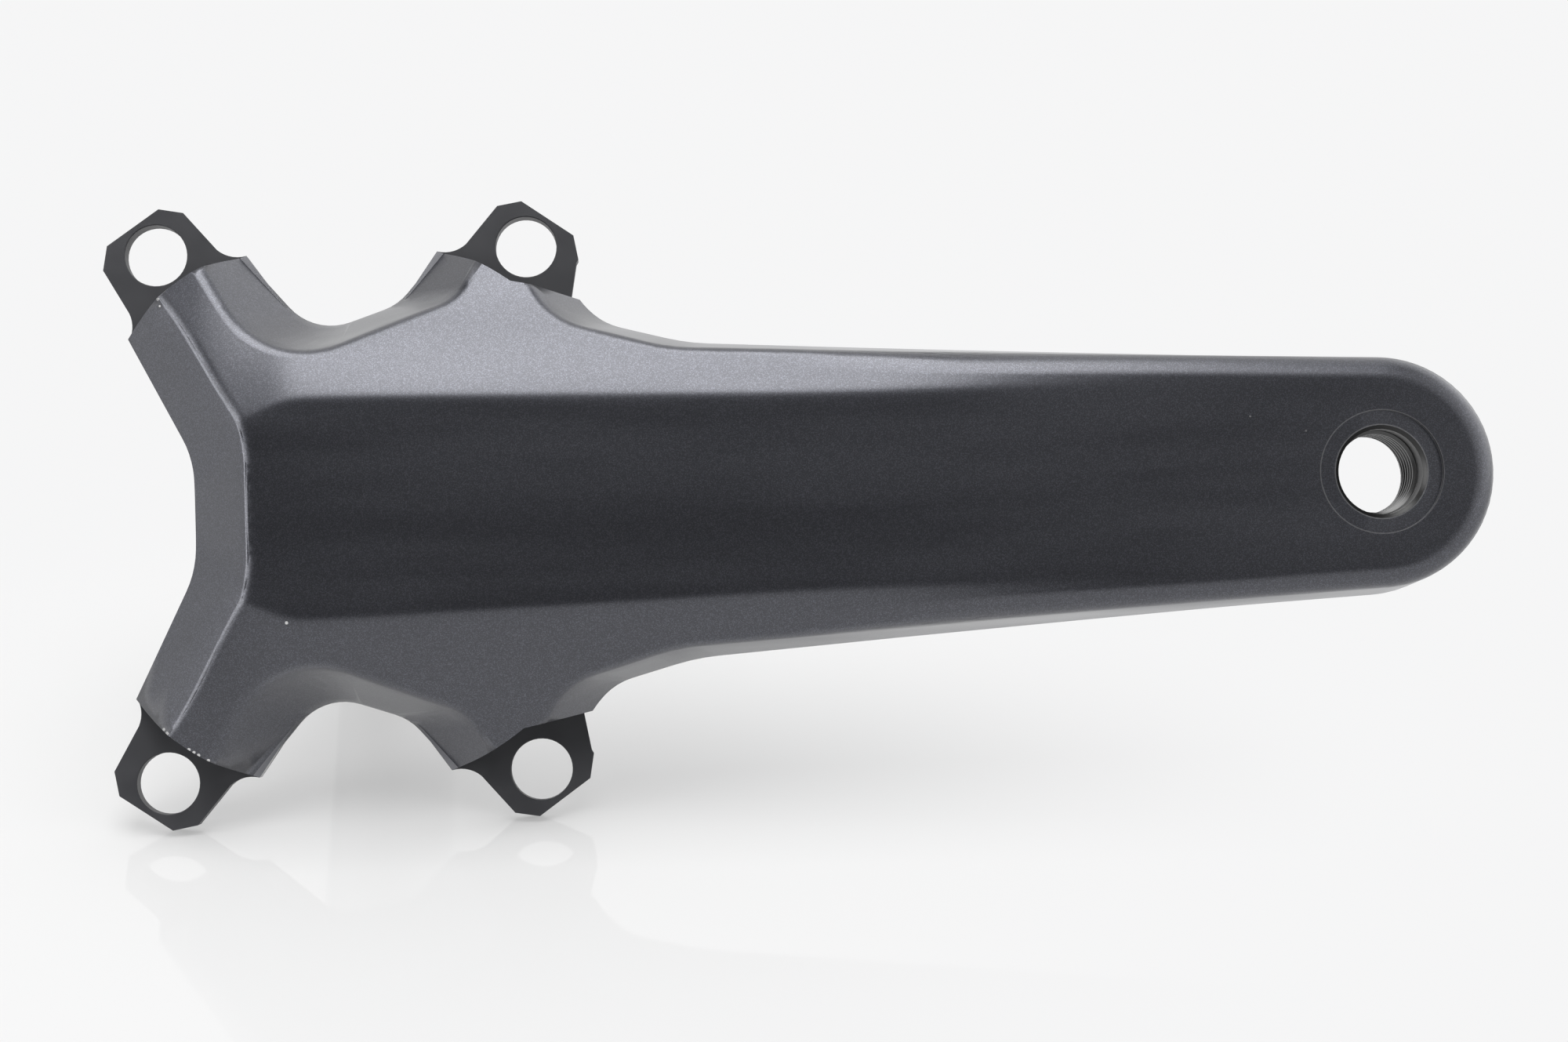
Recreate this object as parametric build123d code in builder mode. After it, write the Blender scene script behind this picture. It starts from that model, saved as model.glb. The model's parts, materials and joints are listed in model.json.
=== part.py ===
import os
from math import asin, atan2, cos, hypot, radians, sin, sqrt, tan

from build123d import *

# Crank and mounting circle
crank_length = 172.5
bolt_circle_radius = 55.0
bolt_half_angle = 55.0
bolt_hole_radius = 5.25

# Painted front form
face_height = 17.3
face_slope = 0.0533
blend_reach = 1.0
facet_slope = 0.39
ridge_slope = 0.25
ridge_start = 2.0
ridge_run = 26.0
fade_slope = 0.05
fade_start = 66.0
fade_setback = 22.5
panel_half_width = 18.5
panel_taper = 0.0275
panel_flare = 2.0
panel_slant = 0.5
panel_slant_x = -16.0
panel_slant_half = 15.0
panel_slant_ease = 0.6
section_start = -40.0
section_count = 21
panel_shares = (0.5, 0.8, 0.92, 0.97, 1.0)
facet_places = (0.6, 1.5, 3.0, 6.0, 14.0)

# Side walls, as slopes from the front plane in degrees
arm_wall_slope = 80.0
end_wall_slope = 84.5
root_wall_slope = 76.0
web_wall_slope = 55.0
root_web_slope = 58.0
valley_wall_slope = 71.0
flank_wall_slope = 46.0
flank_tip_slope = 43.0
wall_foot = 0.8
flank_foot = 1.0

# Places of the side walls on the tab plane, with their angles in plan
web_half_width = 11.05
web_taper = 5.5
valley_floor_x = 4.7
valley_floor_z = 33.8
valley_floor_angle = 19.0
root_web_x = 41.6
root_web_z = 35.1
root_web_angle = 60.0
root_sweep_x = 51.2
root_sweep_z = 30.3
root_sweep_angle = 14.0
flank_x = -31.3
flank_tip_x = -38.75
flank_tip_z = 34.5
flank_tip_angle = 12.3

# Rounded corners and edges
valley_corner_radius = 9.5
valley_crown_radius = 30.0
valley_shallow_radius = 14.0
flank_corner_radius = 5.0
flank_crown_radius = 40.0
root_corner_radius = 18.0
sweep_corner_radius = 40.0
arm_edge_radius = 2.4
valley_edge_radius = 3.0
flank_edge_radius = 1.0
back_edge_bevel = 1.4

# Arm side where it leaves the spider
arm_side_x = 69.0
arm_side_half = 27.5

# Waist of the spider, opposite the arm
waist_x = -25.0
waist_half = 9.5
waist_angle = 28.3
waist_corner_radius = 15.0

# Turned shoulder and chainring tabs
shoulder_setback = 7.5
shoulder_run_angle = 52.36
shoulder_run_x = 60.0
shoulder_run_half = 31.5
tab_valley_half = 8.05
tab_flank_half = 8.7
tab_taper = 5.5
tab_tip = 6.2
tab_chamfer = 3.0
tab_root_half = 12.3
tab_root_rise = 3.8
tab_root_radius = 5.4
tab_overlap = 15.0
tab_thickness = 3.8
hole_chamfer = 0.15

# Web beside each tab on the arm's side, as points from the bolt hole
gusset_points = ((7.45, -1.55), (8.75, -2.25), (7.55, -9.05), (7.55, -14.05), (1.45, -14.05), (2.85, -8.15))

# Pedal end
pedal_end_radius = 19.1
pedal_bore_radius = 7.14
pedal_rim_radius = 7.75
spot_face_radius = 10.3
spot_face_depth = 0.2
boss_thickness = 13.5
boss_run = 20.0

# Back of the crank
spider_back = 2.0
spider_back_end = 36.0
arm_back_root = 3.5
arm_back_start = 46.0
back_corner_radius = 12.0
cover_margin = 9.0
cover_half_wide = 20.0
cover_half_narrow = 15.5
cover_corner_radius = 9.0
cover_thickness = 2.4
cover_ledge = 2.5
hollow_depth = 8.0

# Spindle
spindle_radius = 12.0
spindle_bore_radius = 9.6
spindle_seat_depth = 16.5
spindle_reach = 108.0
spindle_chamfer = 0.5
relief_radius = 11.6
relief_width = 1.0
spline_length = 22.0
spline_tip_radius = 11.75
spline_root_radius = 11.1
spline_count = 32
spline_groove_width = 1.2
collar_radius = 16.0
collar_height = 2.5
collar_chamfer = 0.6

# Reach of the cutting shapes past the crank
cut_rise = 3.5
cut_depth = 25.0
cut_half = 75.0
cut_left = -95.0
cut_margin = 48.0

# Heights above the tab plane and places that follow from the sizes
pedal_face = face_height + face_slope * crank_length
eye_face = pedal_face - spot_face_depth
boss_back = pedal_face - boss_thickness
front_level = pedal_face + cut_rise
fade_end = crank_length - fade_setback
cut_right = crank_length + pedal_end_radius + cut_margin
shoulder_radius = bolt_circle_radius - shoulder_setback
shoulder_run_start = (
    shoulder_radius * cos(radians(shoulder_run_angle)),
    shoulder_radius * sin(radians(shoulder_run_angle)),
)
shoulder_run_end = (shoulder_run_x, shoulder_run_half)
bolt_x = bolt_circle_radius * cos(radians(bolt_half_angle))
bolt_z = bolt_circle_radius * sin(radians(bolt_half_angle))
seat_level = spindle_seat_depth - spider_back - collar_height


def front_height(x):
    """Height of the front panel above the tab plane at one place along the arm."""
    return face_height + face_slope * x


def plan(level):
    """Plane parallel to the tabs at one height above them, drawn with X along the arm."""
    return Plane(origin=(0, -level, 0), x_dir=(1, 0, 0), z_dir=(0, -1, 0))


def across(x):
    """Plane across the arm, drawn with the sideways direction first and height second."""
    return Plane(origin=(x, 0, 0), x_dir=(0, 0, 1), z_dir=(1, 0, 0))


def wall_line(foot, heading, slope, level):
    """Point and direction of one leaning wall's line at a height; the metal is on the right."""
    run = (cos(radians(heading)), sin(radians(heading)))
    lean = level / tan(radians(slope))
    return (foot[0] + run[1] * lean, foot[1] - run[0] * lean), run


def meet(first, second):
    """Crossing of two wall lines."""
    (ax, ay), (ux, uy) = first
    (bx, by), (vx, vy) = second
    along = ((bx - ax) * vy - (by - ay) * vx) / (ux * vy - uy * vx)
    return (ax + ux * along, ay + uy * along)


def spider_wall(angle, side):
    """Foot and outward heading of the wall beside a spider arm that points at an angle in plan."""
    lean = radians(angle)
    foot_x = shoulder_radius * cos(lean) - side * web_half_width * sin(lean)
    foot_z = shoulder_radius * sin(lean) + side * web_half_width * cos(lean)
    return (foot_x, foot_z), angle - side * web_taper


# Where each wall stands on the tab plane, the way it runs with the metal on its right, and its slope
far_foot, far_heading = spider_wall(180.0 - bolt_half_angle, -1)
near_foot, near_heading = spider_wall(bolt_half_angle, 1)
web_left = (far_foot, far_heading - 180.0, web_wall_slope)
web_right = (near_foot, near_heading, web_wall_slope)
valley_floor = ((valley_floor_x, valley_floor_z), valley_floor_angle, valley_wall_slope)
root_web = ((root_web_x, root_web_z), -root_web_angle, root_web_slope)
root_sweep = ((root_sweep_x, root_sweep_z), -root_sweep_angle, root_wall_slope)
flank_middle = ((flank_x, 0.0), 90.0, flank_wall_slope)
flank_upper = ((flank_tip_x, flank_tip_z), 90.0 + flank_tip_angle, flank_tip_slope)
flank_lower = ((flank_tip_x, -flank_tip_z), 90.0 - flank_tip_angle, flank_tip_slope)
ceiling = ((0.0, cut_half), (1.0, 0.0))
floor = ((0.0, -cut_half), (1.0, 0.0))


def panel_half(x):
    """Half width of the flat panel: tapered along the arm, drawn in at the spider end."""
    reach = min(x, fade_end)
    step = max(0.0, (reach - fade_start) / (fade_end - fade_start))
    straight = panel_half_width - panel_taper * reach + panel_flare * step * step
    slant = panel_slant_half + panel_slant * (x - panel_slant_x)
    ease = 0.5 * (slant - straight)
    return straight + ease - sqrt(ease * ease + panel_slant_ease)


def facet_fall(x):
    """Slope of the facets beside the panel, fading towards the pedal and softer on the far arms."""
    if x > fade_start:
        step = min(1.0, (x - fade_start) / (fade_end - fade_start))
        return facet_slope + (fade_slope - facet_slope) * step * step * (3 - 2 * step)
    step = min(1.0, max(0.0, (ridge_start - x) / ridge_run))
    return facet_slope + (ridge_slope - facet_slope) * step * step * (3 - 2 * step)


def section_places(half):
    """Places across the arm where a section of the front form is set out."""
    outer = [half * share for share in panel_shares]
    outer += [half + past for past in facet_places]
    outer.append(cut_half)
    return [-place for place in reversed(outer)] + [0.0] + outer


def front_fall(place, half, slope):
    """Fall of the front below the panel: none on the panel, then a blend into the facet's slope."""
    past = abs(place) - half
    return slope * (past + hypot(past, blend_reach)) / 2


# Front form lofted along the arm: flat panel with a sloping facet above and below
section_end = crank_length + pedal_end_radius + cut_rise
section_step = (section_end - section_start) / (section_count - 1)

with BuildPart() as form:
    for index in range(section_count):
        station = section_start + index * section_step
        half = panel_half(station)
        slope = facet_fall(station)
        top = front_height(station)
        points = [(place, top - front_fall(place, half, slope)) for place in section_places(half)]
        with BuildSketch(across(station)):
            with BuildLine():
                add(Edge.make_spline(points, parameters=section_places(panel_half_width)))
                Polyline(points[-1], (cut_half, -cut_depth), (-cut_half, -cut_depth), points[0])
            make_face()
    loft()


def valley_points(level):
    """Corner points of the hollow between two spider arms at one height."""
    left = wall_line(*web_left, level)
    deep = wall_line(*valley_floor, level)
    right = wall_line(*web_right, level)
    return [meet(left, ceiling), meet(left, deep), meet(deep, right), meet(right, ceiling)]


def valley_outline(level, deep_radius, shallow_radius):
    """Sketch of the hollow between two spider arms at one height."""
    with BuildSketch(plan(level)) as outline:
        with BuildLine():
            Polyline(*valley_points(level), close=True)
        make_face()
        deep, shallow = outline.vertices().sort_by(Axis.Y)[0:2]
        fillet(shallow, shallow_radius)
        fillet(outline.vertices().sort_by_distance(deep)[0], deep_radius)
    return outline.sketch


# Hollow between the spider arms, its walls leaning down to the foot and then upright
with BuildPart() as valley:
    crown = valley_outline(front_level, valley_crown_radius, valley_shallow_radius)
    base = valley_outline(-wall_foot, valley_corner_radius, valley_corner_radius)
    loft(sections=[crown, base], ruled=True)
    extrude(to_extrude=base, amount=-cut_depth)


def arm_outline(level):
    """Sketch of the space around the arm at one height, from spider to pedal end and back."""
    radius = pedal_end_radius + (pedal_face - level) / tan(radians(end_wall_slope))
    start = (arm_side_x, arm_side_half - level / tan(radians(arm_wall_slope)))
    away = sqrt((crank_length - start[0]) ** 2 + start[1] ** 2)
    heading = atan2(-start[1], crank_length - start[0]) + asin(radius / away)
    side = (start, (cos(heading), sin(heading)))
    touch = (crank_length - sin(heading) * radius, cos(heading) * radius)
    web = wall_line(*root_web, level)
    sweep = wall_line(*root_sweep, level)
    upper = [meet(web, ceiling), meet(web, sweep), meet(sweep, side)]
    lower = [(px, -pz) for px, pz in upper]
    with BuildSketch(plan(level)) as outline:
        with BuildLine():
            Polyline(*upper, touch)
            ThreePointArc(touch, (crank_length + radius, 0), (touch[0], -touch[1]))
            Polyline((touch[0], -touch[1]), *reversed(lower))
            Polyline(lower[0], (cut_right, -cut_half), (cut_right, cut_half), upper[0])
        make_face()
        for point, size in ((1, root_corner_radius), (2, sweep_corner_radius)):
            for px, pz in (upper[point], lower[point]):
                fillet(outline.vertices().sort_by_distance((px, pz, 0))[0], size)
    return outline.sketch


# Space around the arm and its rounded pedal end
with BuildPart() as surround:
    base = arm_outline(-wall_foot)
    loft(sections=[arm_outline(front_level), base], ruled=True)
    extrude(to_extrude=base, amount=-cut_depth)


def flank_outline(level, radius):
    """Sketch of the space left of the spider at one height."""
    lower = wall_line(*flank_lower, level)
    middle = wall_line(*flank_middle, level)
    upper = wall_line(*flank_upper, level)
    with BuildSketch(plan(level)) as outline:
        with BuildLine():
            Polyline(
                (cut_left, -cut_half),
                meet(lower, floor),
                meet(lower, middle),
                meet(middle, upper),
                meet(upper, ceiling),
                (cut_left, cut_half),
                close=True,
            )
        make_face()
        bends = outline.vertices().filter_by(lambda v: abs(v.Y) < bolt_z)
        fillet(bends, radius)
    return outline.sketch


# Space left of the spider: leaning flanks, then an upright wall
with BuildPart() as flank:
    crown = flank_outline(front_level, flank_crown_radius)
    base = flank_outline(flank_foot, flank_corner_radius)
    loft(sections=[crown, base], ruled=True)

waist_fall = (cut_half - waist_half) * tan(radians(waist_angle))

with BuildPart() as waist:
    with BuildSketch(plan(0)) as outline:
        with BuildLine():
            Polyline(
                (waist_x, waist_half),
                (waist_x - waist_fall, cut_half),
                (cut_left, cut_half),
                (cut_left, -cut_half),
                (waist_x - waist_fall, -cut_half),
                (waist_x, -waist_half),
                close=True,
            )
        make_face()
        fillet(outline.vertices().sort_by(Axis.X)[-2:], waist_corner_radius)
    extrude(amount=cut_half, both=True)

# Turned shoulder: what stays inside the tabs, with a straight run along each side of the arm
with BuildPart() as turned:
    with BuildSketch(plan(0)):
        Circle(shoulder_radius)
        with BuildLine():
            upper_run = Polyline(shoulder_run_start, shoulder_run_end, (cut_right, shoulder_run_half))
            lower_run = mirror(upper_run, about=Plane.XZ)
            Line(upper_run @ 0, lower_run @ 0)
            Line(upper_run @ 1, lower_run @ 1)
        make_face()
    extrude(amount=cut_half, both=True)

# Space behind the crank
with BuildPart() as behind:
    with BuildSketch(Plane.XY) as outline:
        with BuildLine():
            Polyline(
                (cut_left, spider_back),
                (spider_back_end, spider_back),
                (arm_back_start, -arm_back_root),
                (crank_length - boss_run, -boss_back),
                (cut_right, -boss_back),
                (cut_right, cut_half),
                (cut_left, cut_half),
                close=True,
            )
        make_face()
        fillet(outline.vertices().sort_by(Axis.X)[2:4], back_corner_radius)
    extrude(amount=cut_half, both=True)


def web_offset(point):
    """Sideways distance from the far spider arm's centre line: negative on the flank side."""
    lean = radians(bolt_half_angle)
    return point.X * sin(lean) + abs(point.Z) * cos(lean)


def shoulder_gap(point):
    """Distance in plan from a point to the turned shoulder or its straight run to the arm."""
    start_x, start_z = shoulder_run_start
    run_x = shoulder_run_end[0] - start_x
    run_z = shoulder_run_end[1] - start_z
    straight = abs((point.X - start_x) * run_z - (abs(point.Z) - start_z) * run_x) / hypot(run_x, run_z)
    return min(straight, abs(hypot(point.X, point.Z) - shoulder_radius))


with BuildPart() as crank:
    add(form.part)
    add(turned.part, mode=Mode.INTERSECT)
    add(valley.part, mode=Mode.SUBTRACT)
    add(mirror(valley.part, about=Plane.XY, mode=Mode.PRIVATE), mode=Mode.SUBTRACT)
    add(surround.part, mode=Mode.SUBTRACT)
    add(flank.part, mode=Mode.SUBTRACT)
    add(waist.part, mode=Mode.SUBTRACT)
    add(behind.part, mode=Mode.SUBTRACT)

    front = crank.faces().filter_by(lambda f: f.normal_at().Y < -0.8)
    rim = [e for e in front.edges() if sum(e.is_same(g) for f in front for g in f.edges()) == 1]
    soft = [e for e in rim if shoulder_gap(e @ 0.5) > 0.05]
    arm_rim = [e for e in soft if (e @ 0.5).X > bolt_x]
    flank_rim = [e for e in soft if web_offset(e @ 0.5) < 0]
    valley_rim = [e for e in soft if (e @ 0.5).X <= bolt_x and web_offset(e @ 0.5) > 0]
    fillet(arm_rim, arm_edge_radius)
    fillet(valley_rim, valley_edge_radius)
    fillet(flank_rim, flank_edge_radius)

    back = crank.faces().filter_by(lambda f: f.normal_at().Y > 0.8)
    back_rim = [e for e in back.edges() if sum(e.is_same(g) for f in back for g in f.edges()) == 1]
    chamfer([e for e in back_rim if (e @ 0.5).X > arm_side_x], back_edge_bevel)

# Chainring tabs: one plate under each spider arm, the two beside the arm cut upright
tab_root = sqrt(shoulder_radius ** 2 - tab_root_half ** 2) - bolt_circle_radius

tab_corner = tab_tip - tab_chamfer
tab_waist = tab_root + tab_root_rise
tab_spread = (tab_corner - tab_waist) * tan(radians(tab_taper))


def tab_side(half, side):
    """Points of one side of a tab: root, middle and end of the hollow round, corner and tip."""
    root = (tab_root_half, tab_root)
    waist = (half + tab_spread, tab_waist)
    chord = hypot(root[0] - waist[0], root[1] - waist[1])
    bow = tab_root_radius - sqrt(tab_root_radius ** 2 - chord ** 2 / 4)
    middle_x = (root[0] + waist[0]) / 2 - bow * (waist[1] - root[1]) / chord
    middle_z = (root[1] + waist[1]) / 2 - bow * (root[0] - waist[0]) / chord
    points = (root, (middle_x, middle_z), waist, (half, tab_corner), (half - tab_chamfer, tab_tip))
    return [(side * px, pz) for px, pz in points]


valley_side = tab_side(tab_valley_half, 1)
flank_side = tab_side(tab_flank_half, -1)

with BuildPart() as tab:
    with BuildSketch(plan(0)):
        with BuildLine():
            ThreePointArc(*valley_side[0:3])
            Polyline(*valley_side[2:], *reversed(flank_side[2:]))
            ThreePointArc(*reversed(flank_side[0:3]))
            Polyline(
                flank_side[0],
                (-tab_root_half, tab_root - tab_overlap),
                (tab_root_half, tab_root - tab_overlap),
                valley_side[0],
            )
        make_face()
        Circle(bolt_hole_radius, mode=Mode.SUBTRACT)
    extrude(amount=-tab_thickness)
    hole_rims = tab.edges().filter_by(lambda e: e.is_closed)
    chamfer(hole_rims.sort_by(Axis.Y)[0], hole_chamfer)

with BuildPart() as tabs:
    with Locations(Location((-bolt_x, 0, bolt_z), (0, bolt_half_angle - 90, 0))):
        add(tab.part)
    mirror(about=Plane.YZ)
    mirror(about=Plane.XY)
    with BuildSketch(plan(0)):
        with BuildLine():
            Polyline([(bolt_x + px, bolt_z + pz) for px, pz in gusset_points], close=True)
        make_face()
        mirror(about=Plane.XZ)
    extrude(amount=-tab_thickness)

# Back plane of the arm, with the bonded cover let into it
back_run_x = crank_length - boss_run - arm_back_start
back_run_y = arm_back_root - boss_back
back_length = hypot(back_run_x, back_run_y)
arm_back = Plane(
    origin=(arm_back_start, -arm_back_root, 0),
    x_dir=(back_run_x, back_run_y, 0),
    z_dir=(-back_run_y, back_run_x, 0),
)


def cover_outline(inset):
    """Sketch of the cover's outline on the back of the arm, drawn in by an inset."""
    with BuildSketch(arm_back) as outline:
        with BuildLine():
            Polyline(
                (cover_margin + inset, cover_half_wide - inset),
                (back_length - cover_margin - inset, cover_half_narrow - inset),
                (back_length - cover_margin - inset, inset - cover_half_narrow),
                (cover_margin + inset, inset - cover_half_wide),
                close=True,
            )
        make_face()
        fillet(outline.vertices(), cover_corner_radius - inset)
    return outline.sketch


with BuildPart() as cover:
    extrude(to_extrude=cover_outline(0), amount=-cover_thickness)

with BuildPart() as crank_arm:
    add(crank.part)
    add(tabs.part)
    # Hollow of the arm and the seat of its cover
    extrude(to_extrude=cover_outline(0), amount=-cover_thickness, mode=Mode.SUBTRACT)
    extrude(
        to_extrude=cover_outline(cover_ledge),
        amount=-cover_thickness - hollow_depth,
        mode=Mode.SUBTRACT,
    )
    # Eye for the pedal, bored at the thread's outer size, with its spot face and countersunk rims
    with BuildSketch(plan(eye_face)):
        with Locations((crank_length, 0)):
            Circle(spot_face_radius)
    extrude(amount=cut_rise, mode=Mode.SUBTRACT)
    with BuildSketch(plan(eye_face)):
        with Locations((crank_length, 0)):
            Circle(pedal_bore_radius)
    extrude(amount=-boss_thickness, mode=Mode.SUBTRACT)
    rounds = crank_arm.edges().filter_by(GeomType.CIRCLE)
    bore_rims = rounds.filter_by(lambda e: abs(e.radius - pedal_bore_radius) < 0.01)
    chamfer(bore_rims, pedal_rim_radius - pedal_bore_radius)
    # Collar round the spindle, and its blind seat
    with BuildSketch(plan(-spider_back)):
        Circle(collar_radius)
    extrude(amount=-collar_height)
    chamfer(crank_arm.edges().filter_by(GeomType.CIRCLE).sort_by(Axis.Y)[-1], collar_chamfer)
    with BuildSketch(plan(seat_level)):
        Circle(spindle_radius)
    extrude(amount=-spindle_seat_depth, mode=Mode.SUBTRACT)

# Hollow turned spindle: seated end, relief beside the collar, bearing journal and splined end
collar_face = spider_back + collar_height
spline_start = spindle_reach - spline_length

with BuildPart() as spindle:
    with BuildSketch(Plane.XY):
        with BuildLine():
            Polyline(
                (spindle_bore_radius, -seat_level),
                (spindle_radius, -seat_level),
                (spindle_radius, collar_face),
                (relief_radius, collar_face),
                (relief_radius, collar_face + relief_width),
                (spindle_radius, collar_face + relief_width),
                (spindle_radius, spline_start),
                (spline_tip_radius, spline_start),
                (spline_tip_radius, spindle_reach - spindle_chamfer),
                (spline_tip_radius - spindle_chamfer, spindle_reach),
                (spindle_bore_radius + spindle_chamfer, spindle_reach),
                (spindle_bore_radius, spindle_reach - spindle_chamfer),
                close=True,
            )
        make_face()
    revolve(axis=Axis.Y)
    groove_depth = spline_tip_radius - spline_root_radius
    with BuildSketch(plan(-spindle_reach)):
        with PolarLocations(spline_tip_radius, spline_count):
            Rectangle(2 * groove_depth, spline_groove_width)
    extrude(amount=spline_length, mode=Mode.SUBTRACT)

crank_arm.part.label = "crank_arm"
cover.part.label = "arm_cover"
spindle.part.label = "spindle"

os.makedirs("parts", exist_ok=True)
export_step(crank_arm.part, "parts/crank_arm.step")
export_step(cover.part, "parts/arm_cover.step")
export_step(spindle.part, "parts/spindle.step")
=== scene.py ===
"""Studio scene of a bicycle crank arm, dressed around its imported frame."""

import json
import logging
import math
from dataclasses import dataclass, field, replace
from enum import Enum
from typing import ClassVar, Sequence

import bmesh
import bpy
from mathutils import Matrix, Vector
from mathutils.kdtree import KDTree


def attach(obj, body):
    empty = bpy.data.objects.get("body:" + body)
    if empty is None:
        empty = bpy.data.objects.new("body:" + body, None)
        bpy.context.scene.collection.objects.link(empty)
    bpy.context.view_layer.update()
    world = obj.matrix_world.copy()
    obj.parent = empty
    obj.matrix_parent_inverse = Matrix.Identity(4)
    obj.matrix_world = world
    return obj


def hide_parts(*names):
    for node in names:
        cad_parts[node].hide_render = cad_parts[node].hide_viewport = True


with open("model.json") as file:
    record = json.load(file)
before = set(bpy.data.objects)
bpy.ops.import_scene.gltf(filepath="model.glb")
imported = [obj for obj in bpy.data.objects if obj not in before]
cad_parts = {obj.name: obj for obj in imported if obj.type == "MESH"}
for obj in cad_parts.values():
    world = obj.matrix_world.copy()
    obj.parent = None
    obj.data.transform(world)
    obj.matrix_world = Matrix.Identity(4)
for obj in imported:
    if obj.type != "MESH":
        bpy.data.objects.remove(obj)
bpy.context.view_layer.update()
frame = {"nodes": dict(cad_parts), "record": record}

MM = 0.001
BODY = "root"
WELD_GAP = 0.002 * MM
WHITE_CAST = 0.004
RED_FALL = 0.15
LOG = logging.getLogger("crank_arm")

Socket = bpy.types.NodeSocket
Pair = tuple[float, float]
Triple = tuple[float, float, float]


class Region(Enum):
    """Finish of one stretch of the arm's surface, as a material slot number."""

    PAINT = 0
    TAB = 1
    EYE = 2
    # Painted reflection: light grey on the flat ledge, standing for the white it mirrors.
    LEDGE = 3


def rgb(level: float, cool: float = 0.0) -> tuple[float, float, float, float]:
    """Grey colour with a slight cool cast.

    Args:
        level: Linear brightness.
        cool: Share by which blue rises; red falls by a little of it.

    Returns:
        Colour with full alpha.
    """
    return (level * (1 - RED_FALL * cool), level, level * (1 + cool), 1.0)


def around(middle: float, reach: float) -> Pair:
    """Give the range that reaches equally far to both sides of a value."""
    return middle - reach, middle + reach


def progress(value: float, start: float, end: float) -> float:
    """Tell how far along a stretch a value lies.

    Args:
        value: The value.
        start: Where the stretch starts.
        end: Where it ends, on either side of the start.

    Returns:
        Nought up to the start, one past the end.
    """
    return min(1.0, max(0.0, (value - start) / (end - start)))


def eased(step: float) -> float:
    """Ease a share of a way in and out."""
    return step * step * (3 - 2 * step)


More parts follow.
